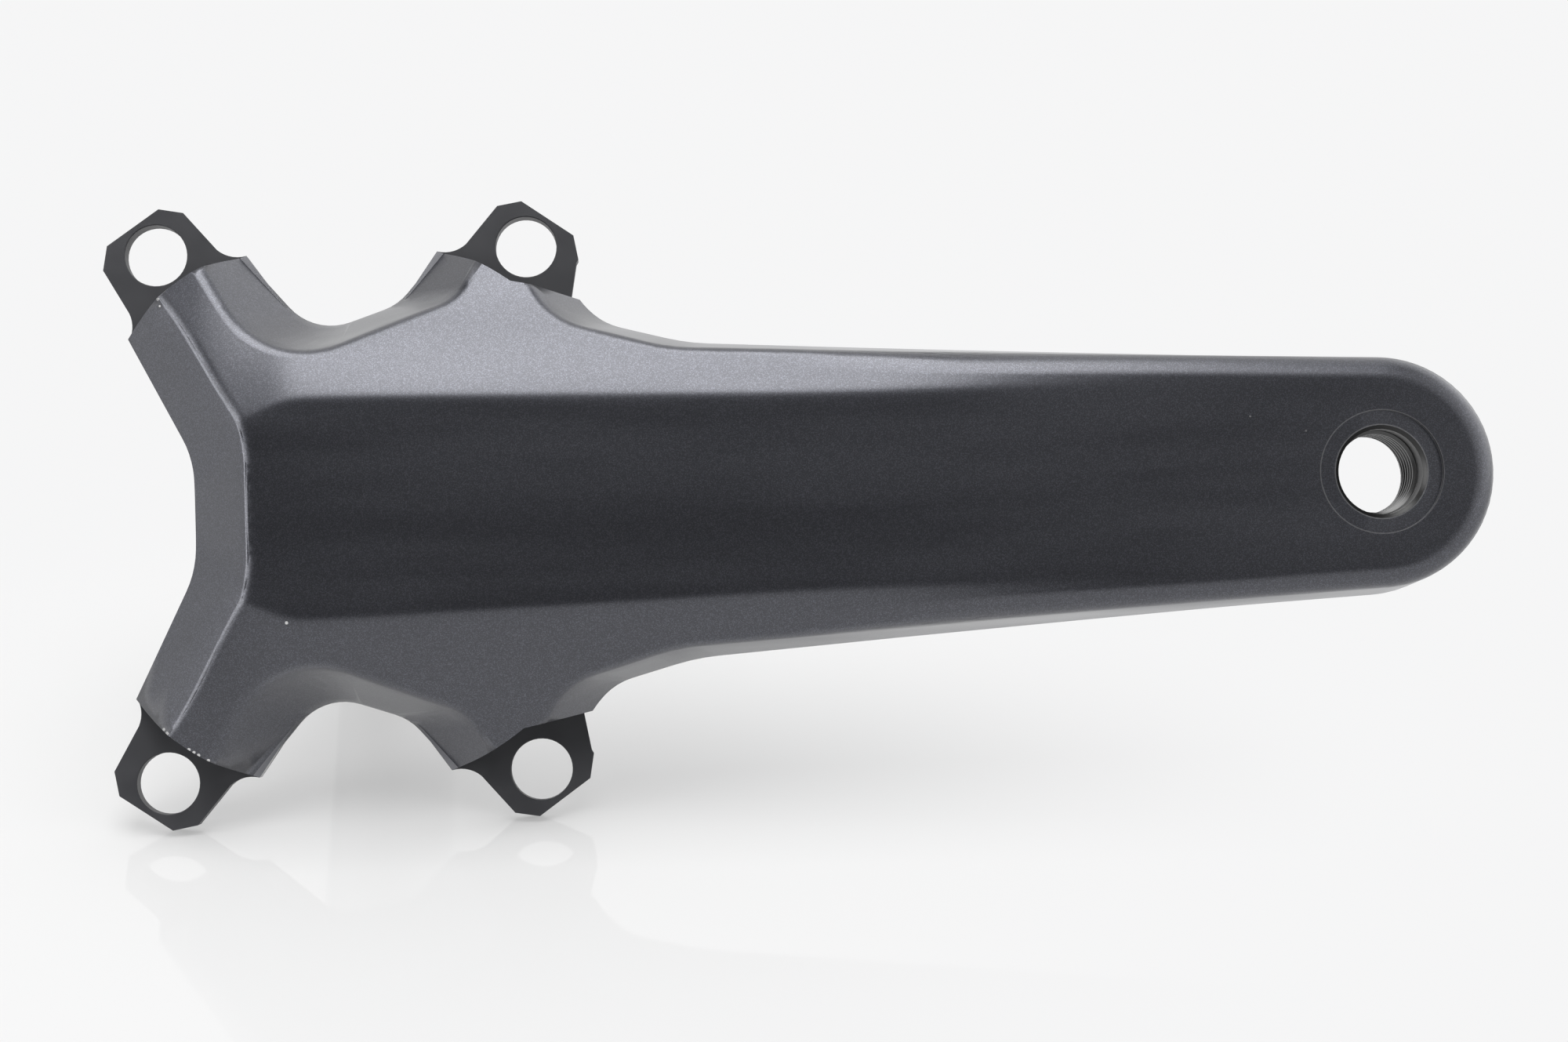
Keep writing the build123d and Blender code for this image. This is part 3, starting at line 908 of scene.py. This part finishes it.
@dataclass
class ArmBody:
    """Forged arm with its spider, painted, with bare black tabs and pedal eye."""

    shoulder_radius: float = 47.5 * MM
    shoulder_run: tuple[Pair, Pair] = ((29.0 * MM, 37.6 * MM), (60.0 * MM, 31.5 * MM))
    spider_back: float = 2.0 * MM
    hub_radius: float = 17.0 * MM
    eye_reach: float = 7.8 * MM
    eye_rings: Pair = (7.85 * MM, 10.3 * MM)
    # Width and strength of painted highlight lines laid along the eye's two edges at these radii.
    highlight_ring_width: float = 0.11 * MM
    highlight_ring_share: float = 0.2
    crease: float = 40.0
    slack: float = 0.02 * MM
    flat_facing: float = 0.99
    fine_edge: float = 0.7 * MM
    coarse_edge: float = 4.0 * MM
    rim_bend: float = 25.0
    edge_reach: float = 1.8 * MM
    edge_angle: float = 20.0
    rounds: int = 5
    form: FrontForm = FrontForm()
    paint: PaintFinish = PaintFinish("arm_paint")
    tabs: AnodisedFinish = AnodisedFinish("tab_black", level=0.033, cast=0.12)
    eye: SteelFinish = SteelFinish("eye_metal", level=0.05, roughness=0.36)
    # Painted reflection: a light grey for the flat ledge inside the shoulder, in place of the white
    # it mirrors.
    ledge: AnodisedFinish = AnodisedFinish("ledge_painted_reflection", level=0.2, cast=0.08)

    def beyond_shoulder(self, point: Vector) -> bool:
        """Tell whether a point lies on or outside the turned shoulder in plan.

        Args:
            point: Place on the arm.

        Returns:
            True outside the shoulder's round and its straight run beside the arm.
        """
        (start_x, start_z), (end_x, end_z) = self.shoulder_run
        if math.hypot(point.x, point.z) < self.shoulder_radius - self.slack:
            return False
        if point.x < start_x:
            return True
        line = start_z + (end_z - start_z) * (point.x - start_x) / (end_x - start_x)
        return abs(point.z) > line - self.slack and point.x < end_x

    def from_eye(self, point: Vector) -> float:
        """Give a point's distance from the axis of the pedal eye."""
        axis = Vector(mount("pedal_thread")["pos_m"])
        return math.hypot(point.x - axis.x, point.z - axis.z)

    def region(self, face: bmesh.types.BMFace) -> Region:
        """Choose the finish of one face by its place.

        Args:
            face: Face of the arm's mesh.

        Returns:
            The finish that the face takes.
        """
        centre = face.calc_center_median()
        if self.from_eye(centre) < self.eye_reach:
            return Region.EYE
        beyond = self.beyond_shoulder(centre)
        in_tab_plane = face.normal.y < -self.flat_facing and abs(centre.y) < self.slack
        # Painted reflection: flat ledge faces inside the shoulder take the light grey finish.
        if in_tab_plane and not beyond:
            return Region.LEDGE
        behind = centre.y > self.spider_back + self.slack
        if behind and math.hypot(centre.x, centre.z) > self.hub_radius or beyond:
            return Region.TAB
        return Region.PAINT

    def front_faces(self, bm: bmesh.types.BMesh) -> set[bmesh.types.BMFace]:
        """Collect the faces of the front form.

        Args:
            bm: The arm's mesh with its patch numbers.

        Returns:
            Faces of the patch that holds the middle of the panel.
        """
        patch = bm.faces.layers.int["patch"]
        x, z = self.form.panel_middle
        middle = Vector((x, -self.form.level(x, z), z)) * MM
        seed = min(bm.faces, key=lambda face: (face.calc_center_median() - middle).length)
        return {face for face in bm.faces if face[patch] == seed[patch]}

    def soft_edge(self, bm: bmesh.types.BMesh) -> SoftEdge:
        """Collect the waist's edges, where the front runs on into a rounded rim.

        Args:
            bm: The arm's mesh with its patch numbers.

        Returns:
            The rounded edge, ready to be searched.
        """
        bm.normal_update()
        front = self.front_faces(bm)
        edge_line = SoftEdge(self.edge_reach, self.edge_angle)
        for edge in bm.edges:
            inside = [face for face in edge.link_faces if face in front]
            if len(inside) == 1 and edge.calc_face_angle(math.pi) < math.radians(self.rim_bend):
                edge_line.add(edge, inside[0])
        edge_line.index()
        return edge_line

    def refine_front(self, bm: bmesh.types.BMesh, edge_line: SoftEdge) -> None:
        """Divide the front's triangles and lay the new points exactly on the form.

        Args:
            bm: The arm's mesh, changed in place.
            edge_line: The front's rounded edge.
        """
        for _ in range(self.rounds):
            front = self.front_faces(bm)
            long = []
            for edge in bm.edges:
                if not all(face in front for face in edge.link_faces):
                    continue
                middle = (edge.verts[0].co + edge.verts[1].co) / 2
                close = self.form.near_blend(middle.x / MM, middle.z / MM)
                close = close or edge_line.gap(middle) < self.edge_reach + self.fine_edge
                if edge.calc_length() > (self.fine_edge if close else self.coarse_edge):
                    long.append(edge)
            if not long:
                break
            bmesh.ops.subdivide_edges(bm, edges=long, cuts=1)
            bmesh.ops.triangulate(bm, faces=[face for face in bm.faces if len(face.verts) > 3])
            front = self.front_faces(bm)
            for vert in bm.verts:
                if all(face in front for face in vert.link_faces):
                    vert.co.y = -self.form.level(vert.co.x / MM, vert.co.z / MM) * MM

    def front_normals(self, bm: bmesh.types.BMesh, edge_line: SoftEdge) -> dict[int, Vector]:
        """List the normals of the front's points, and of the rounded rim that runs on from it.

        Args:
            bm: The arm's mesh.
            edge_line: The front's rounded edge.

        Returns:
            Normals by vertex number.
        """
        bm.verts.index_update()
        bm.normal_update()
        patch = bm.faces.layers.int["patch"]
        front = self.front_faces(bm)
        bend = math.radians(self.rim_bend)
        border = {face[patch] for piece in front for edge in piece.edges for face in edge.link_faces
                  if face not in front and edge.calc_face_angle(0.0) < bend}
        exact: dict[int, Vector] = {}
        for face in bm.faces:
            beside = face[patch] in border
            if beside and self.from_eye(face.calc_center_median()) > self.eye_rings[1]:
                for vert in face.verts:
                    x, z = vert.co.x / MM, vert.co.z / MM
                    exact[vert.index] = self.form.rolled(vert.normal, x, z)
        for face in front:
            for vert in face.verts:
                x, z = vert.co.x / MM, vert.co.z / MM
                base = edge_line.rolled(self.form.normal(x, z), vert.co)
                exact[vert.index] = self.form.rolled(base, x, z)
        return exact

    def worn_paint_with_highlights(self) -> PaintFinish:
        """Add the chips, and painted highlight rings on the edges round the pedal eye, to the
        paint.

        Returns:
            The arm's own paint.
        """
        x, _, z = mount("pedal_thread")["pos_m"]
        # Painted highlight: thin light lines along the hole's rim and the spot face's edge.
        rings = tuple(BareOrHighlight((x, z), self.highlight_ring_width, ring, self.highlight_ring_share)
                      for ring in self.eye_rings)
        return replace(self.paint, bare=WEAR + rings)

    def build(self) -> bpy.types.Object:
        """Make the dressed arm.

        Returns:
            The piece that stands for the arm's node.
        """
        bm = welded("crank_arm")
        edge_line = self.soft_edge(bm)
        self.refine_front(bm, edge_line)
        for face in bm.faces:
            face.smooth = True
            face.material_index = self.region(face).value
        exact = self.front_normals(bm, edge_line)
        finishes = {Region.PAINT: self.worn_paint_with_highlights(), Region.TAB: self.tabs,
                    Region.EYE: self.eye, Region.LEDGE: self.ledge}
        piece = new_piece("painted_arm", bm, [finishes[region].build() for region in Region])
        shade_even(piece, self.crease, exact)
        settle(piece, "arm_paint", "crank_arm")
        return piece


@dataclass
class PedalThread:
    """Turns of the pedal thread, one helical ridge standing inwards from the eye's wall.

    Its crest and foot are half widths as shares of the pitch. It starts a lead past the front of
    the eye, and each end runs out into the wall over a number of steps.
    """

    pitch: float = 1.27 * MM
    depth: float = 0.55 * MM
    crest: float = 0.14
    foot: float = 0.42
    lead: float = 2.6 * MM
    end_trim: float = 0.5
    bite: float = 0.05 * MM
    steps: int = 48
    run_out: int = 30
    sharp: float = 35.0
    finish: SteelFinish = SteelFinish("thread_metal", level=0.08, roughness=0.3)

    def build(self) -> bpy.types.Object:
        """Wind the ridge along the eye and let it run out into the wall at both ends.

        Returns:
            The thread's piece.
        """
        eye = mount("pedal_thread")
        axis = Vector(eye["pos_m"])
        wall = eye["dims"]["r_mm"] * MM
        length = eye["dims"]["length_mm"] * MM
        turns = int((length - self.lead) / self.pitch) - self.end_trim
        start = axis.y - length / 2 + self.lead
        root, tip = wall + self.bite, wall - self.depth
        corners = ((root, -self.foot), (tip, -self.crest), (tip, self.crest), (root, self.foot))
        bm = bmesh.new()
        profile = [bm.verts.new((axis.x + radius, start + share * self.pitch, axis.z))
                   for radius, share in corners]
        ring = [bm.edges.new(ends) for ends in zip(profile, profile[1:] + profile[:1])]
        count = int(turns * self.steps)
        last = bmesh.ops.spin(
            bm, geom=profile + ring, cent=axis, axis=(0.0, 1.0, 0.0), angle=2.0 * math.pi * turns,
            steps=count, dvec=(0.0, turns * self.pitch / count, 0.0))["geom_last"]
        bm.faces.new(profile)
        bm.faces.new([item for item in last if isinstance(item, bmesh.types.BMVert)])
        for number, vert in enumerate(bm.verts):
            step = number // len(profile)
            ease = min(1.0, (step + 1) / self.run_out, (count + 1 - step) / self.run_out)
            arm = Vector((vert.co.x - axis.x, 0.0, vert.co.z - axis.z))
            vert.co += arm.normalized() * (root - arm.length) * (1.0 - ease)
        bmesh.ops.recalc_face_normals(bm, faces=bm.faces)
        for face in bm.faces:
            face.smooth = True
        for edge in bm.edges:
            bend = edge.calc_face_angle(0.0)
            edge.smooth = edge.is_manifold and bend < math.radians(self.sharp)
        piece = new_piece("pedal_thread", bm, [self.finish.build()])
        settle(piece, "arm_paint")
        return piece


@dataclass
class BackCover:
    """Bonded plate over the hollow at the back of the arm."""

    edge_break: float = 0.3 * MM
    break_steps: int = 2
    sharp: float = 40.0
    crease: float = 50.0
    finish: PaintFinish = PaintFinish("cover_paint", level=0.07)

    def build(self) -> bpy.types.Object:
        """Make the plate with broken edges, so that its joint shows as a fine groove.

        Returns:
            The piece that stands for the cover's node.
        """
        bm = welded("arm_cover")
        sharp = math.radians(self.sharp)
        rim = [edge for edge in bm.edges if edge.calc_face_angle(0.0) > sharp]
        bmesh.ops.bevel(
            bm, geom=rim, offset=self.edge_break, offset_type="OFFSET", segments=self.break_steps,
            profile=0.5, affect="EDGES", material=-1)
        for face in bm.faces:
            face.smooth = True
        piece = new_piece("back_cover", bm, [self.finish.build()])
        shade_even(piece, self.crease)
        settle(piece, "cover_paint", "arm_cover")
        return piece


@dataclass
class Spindle:
    """Hollow steel spindle behind the arm."""

    crease: float = 30.0
    finish: SteelFinish = SteelFinish("spindle_steel")

    def build(self) -> bpy.types.Object:
        """Make the dressed spindle.

        Returns:
            The piece that stands for the spindle's node.
        """
        piece = new_piece("steel_spindle", welded("spindle"), [self.finish.build()])
        shade_even(piece, self.crease)
        settle(piece, "spindle_steel", "spindle")
        return piece


@dataclass(frozen=True)
class SoftBox:
    """Rectangular soft lamp that points at the part."""

    name: str
    place: Triple
    aim: Triple
    size: Pair
    radiance: float

    def build(self) -> bpy.types.Object:
        """Hang the lamp.

        Returns:
            The lamp's object.
        """
        lamp = bpy.data.lights.new(self.name, "AREA")
        lamp.shape = "RECTANGLE"
        lamp.size, lamp.size_y = self.size
        lamp.energy = self.radiance * math.pi * self.size[0] * self.size[1]
        holder = bpy.data.objects.new(self.name, lamp)
        holder.location = self.place
        beam = Vector(self.aim) - Vector(self.place)
        holder.rotation_euler = beam.to_track_quat("-Z", "Y").to_euler()
        holder.visible_camera = False
        bpy.context.scene.collection.objects.link(holder)
        return holder


@dataclass(frozen=True)
class Card:
    """Pale card or wall that the part mirrors: a soft round patch of its surroundings.

    Its way is the share right, back and up, and it fades between two angles in degrees.
    """

    way: Triple
    inner: float
    outer: float
    level: float


@dataclass(frozen=True)
class Rest:
    """How the part stands: on its lower tabs, leaning back on the end of the spindle.

    Points within touch of the lowest one make the foot, and those past clear lie behind it.
    """

    foot: Pair
    lean: float
    touch: ClassVar[float] = 0.01 * MM
    clear: ClassVar[float] = 10.0 * MM

    @classmethod
    def find(cls) -> "Rest":
        """Find the lowest tab edge and the lean at which the spindle's end touches down too.

        Returns:
            The resting place, with the lean in radians.
        """
        points = [vert.co for node in frame["nodes"].values() for vert in node.data.vertices]
        low = min(point.z for point in points)
        foot_y = max(point.y for point in points if point.z < low + cls.touch)
        behind = [point for point in points if point.y > foot_y + cls.clear]
        lean = min(math.atan2(point.z - low, point.y - foot_y) for point in behind)
        return cls((foot_y, low), lean)

    @property
    def up(self) -> Vector:
        """Upward direction of the table."""
        return Vector((0.0, -math.sin(self.lean), math.cos(self.lean)))

    @property
    def front(self) -> Vector:
        """Level direction towards the viewer."""
        return Vector((0.0, -math.cos(self.lean), -math.sin(self.lean)))


@dataclass
class Studio:
    """Pale table, soft lamps, white surroundings with a dark room in front, and the camera."""

    table_half: float = 4.0
    table: TableFinish = TableFinish("table_white")
    camera_place: Triple = (40.734 * MM, -452.451 * MM, -25.966 * MM)
    camera_aim: Triple = (73.098 * MM, -20.0 * MM, -4.787 * MM)
    camera_roll: float = 2.02
    focal_length: float = 60.186
    sensor_width: float = 36.0
    nearest: float = 0.01
    backdrop: float = 0.93
    room: float = 0.05
    cards: tuple[Card, ...] = (
        Card(way=(0.1, 0.85, 0.45), inner=38.0, outer=62.0, level=1.1),
        Card(way=(0.6, 0.6, 0.55), inner=8.0, outer=28.0, level=0.5),
        Card(way=(-1.0, 0.1, 0.1), inner=20.0, outer=45.0, level=0.95),
        Card(way=(1.0, 0.1, 0.05), inner=14.0, outer=55.0, level=1.0),
        Card(way=(1.0, -0.32, 0.34), inner=25.0, outer=60.0, level=1.2),
    )
    lamps: tuple[SoftBox, ...] = (
        SoftBox("key_box", place=(-0.01, -0.47, 0.765), aim=(-0.01, 0.03, 0.02),
                size=(0.6, 0.93), radiance=5.15),
        SoftBox("side_box", place=(-0.76, -0.45, 0.15), aim=(-0.03, 0.0, 0.0),
                size=(0.3, 0.8), radiance=5.0),
    )
    rest: Rest = field(default_factory=Rest.find)

    def lay_table(self) -> bpy.types.Object:
        """Lay the table under the part.

        Returns:
            The table's object.
        """
        bm = bmesh.new()
        bmesh.ops.create_grid(bm, x_segments=2, y_segments=2, size=self.table_half)
        bmesh.ops.rotate(bm, verts=bm.verts, matrix=Matrix.Rotation(self.rest.lean, 3, "X"))
        foot_y, foot_z = self.rest.foot
        bmesh.ops.translate(bm, verts=bm.verts, vec=(0.0, foot_y, foot_z))
        table = new_piece("table", bm, [self.table.build()])
        return table

    def light_world(self) -> None:
        """Fill the surroundings: white to the camera, a dim room with pale cards for the part."""
        world = bpy.data.worlds.new("studio_room")
        bpy.context.scene.world = world
        world.use_nodes = True
        sheet = NodeSheet(world.node_tree)
        way = sheet.add("ShaderNodeTexCoord").outputs["Generated"]
        level: object = self.room
        for card in self.cards:
            right, back, rise = card.way
            middle = Vector((right, 0.0, 0.0)) - back * self.rest.front + rise * self.rest.up
            close = sheet.vector("DOT_PRODUCT", way, middle.normalized())
            outer, inner = (math.cos(math.radians(angle)) for angle in (card.outer, card.inner))
            level = sheet.math("ADD", sheet.remap(close, (outer, inner), (0.0, card.level)), level)
        seen = sheet.add("ShaderNodeLightPath").outputs["Is Camera Ray"]
        mirrored = sheet.add("ShaderNodeBackground")
        sheet.link(level, mirrored.inputs["Strength"])
        shown = sheet.add("ShaderNodeBackground")
        shown.inputs["Color"].default_value = rgb(self.backdrop, WHITE_CAST)
        choice = sheet.blend(seen, mirrored.outputs["Background"], shown.outputs["Background"])
        output = sheet.add("ShaderNodeOutputWorld")
        sheet.link(choice, output.inputs["Surface"])

    def place_camera(self) -> bpy.types.Object:
        """Set the camera at the viewing angle of the picture.

        Returns:
            The camera's object.
        """
        lens = bpy.data.cameras.new("studio_camera")
        lens.sensor_fit = "HORIZONTAL"
        lens.sensor_width = self.sensor_width
        lens.lens = self.focal_length
        lens.clip_start = self.nearest
        camera = bpy.data.objects.new("studio_camera", lens)
        sight = Vector(self.camera_aim) - Vector(self.camera_place)
        level = sight.to_track_quat("-Z", "Y").to_matrix()
        tilt = Matrix.Rotation(math.radians(-self.camera_roll), 3, "Z")
        camera.matrix_world = Matrix.Translation(self.camera_place) @ (level @ tilt).to_4x4()
        bpy.context.scene.collection.objects.link(camera)
        bpy.context.scene.camera = camera
        return camera

    def build(self) -> None:
        """Set up the whole studio."""
        bpy.context.scene.view_settings.view_transform = "Standard"
        self.place_camera()
        self.lay_table()
        self.light_world()
        for lamp in self.lamps:
            lamp.build()


def main() -> None:
    """Build the studio and every piece of the crank arm in order."""
    logging.basicConfig(level=logging.INFO, format="%(name)s %(message)s")
    Studio().build()
    for maker in (ArmBody(), PedalThread(), BackCover(), Spindle()):
        piece = maker.build()
        LOG.info("%s: %d faces", piece.name, len(piece.data.polygons))


if __name__ == "__main__":
    main()
